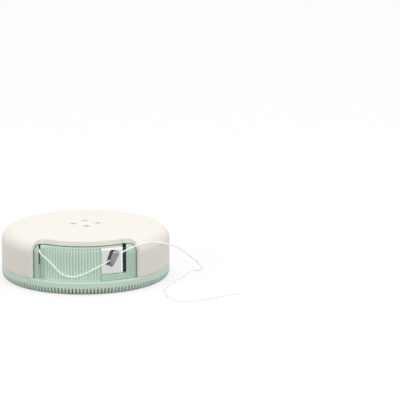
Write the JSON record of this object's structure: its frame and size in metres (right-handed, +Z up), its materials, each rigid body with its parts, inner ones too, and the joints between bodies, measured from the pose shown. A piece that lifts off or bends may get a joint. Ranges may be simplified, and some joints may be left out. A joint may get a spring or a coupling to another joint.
{
  "type": "dental floss dispenser",
  "caption": "Round refillable floss dispenser: domed shell with a window turning round a ribbed drum that carries the thread slit and cutter, with a spool inside.",
  "frame": {"origin": "middle of the underside, where the axis of the round body meets the table", "axes": "+Z up along the axis of the round body; -Y points out of the window; +X to the right of a viewer who faces the window"},
  "size_m": [0.0751, 0.0623, 0.0171],
  "materials": {
    "mint_plastic": "satin moulded bioplastic",
    "bone_plastic": "matt moulded bioplastic with a faint speckle",
    "steel": "brushed sheet",
    "pulp_plastic": "matt moulded",
    "thread": "waxed thread"
  },
  "bodies": {
    "drum": {"inner_drum": "mint_plastic", "cutter_plate": "steel", "floss_lead": "thread", "floss_free": "thread"},
    "shell": {"tray": "mint_plastic"},
    "lid": {"cover": "bone_plastic"},
    "reel": {"spool": "pulp_plastic", "floss_winding": "thread"}
  },
  "joints": [
    {"name": "shell_turn", "type": "hinge", "parent": "drum", "child": "shell", "pos_m": [0, 0, 0], "axis": [0, 0, 1], "range_deg": [0, 65]},
    {"name": "cover_lift", "type": "slide", "parent": "shell", "child": "lid", "axis": [0, 0, 1], "range_m": [0, 0.016]},
    {"name": "spool_spin", "type": "hinge", "parent": "drum", "child": "reel", "pos_m": [0, 0, 0.008], "axis": [0, 0, 1], "continuous": true}
  ]
}
